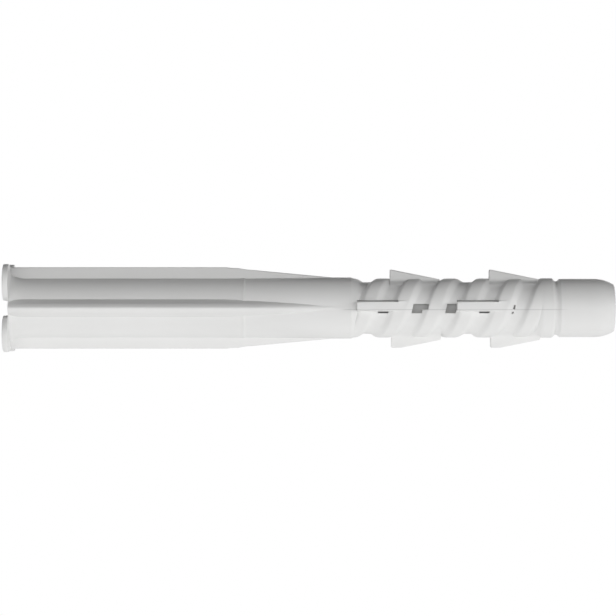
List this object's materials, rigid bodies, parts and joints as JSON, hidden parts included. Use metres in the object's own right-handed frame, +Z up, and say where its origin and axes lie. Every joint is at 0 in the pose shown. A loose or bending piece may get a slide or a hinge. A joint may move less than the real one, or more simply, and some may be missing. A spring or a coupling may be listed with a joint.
{
  "type": "frame plug",
  "caption": "One-piece nylon frame plug: lobed collar, finned shaft, helically ribbed expansion zone with anti-turn wings, rounded nose.",
  "frame": {"origin": "on the plug's axis, in the plane of the collar's seat, where the mouth of the drilled hole is when the plug is fitted", "axes": "+X along the plug towards its nose, +Z up as the plug lies, with fins at the top, bottom, front and back"},
  "size_m": [0.0604, 0.0086, 0.0086],
  "materials": {
    "nylon": "natural white moulded nylon, satin"
  },
  "bodies": {
    "root": {"plug_sleeve": "nylon"}
  },
  "joints": []
}
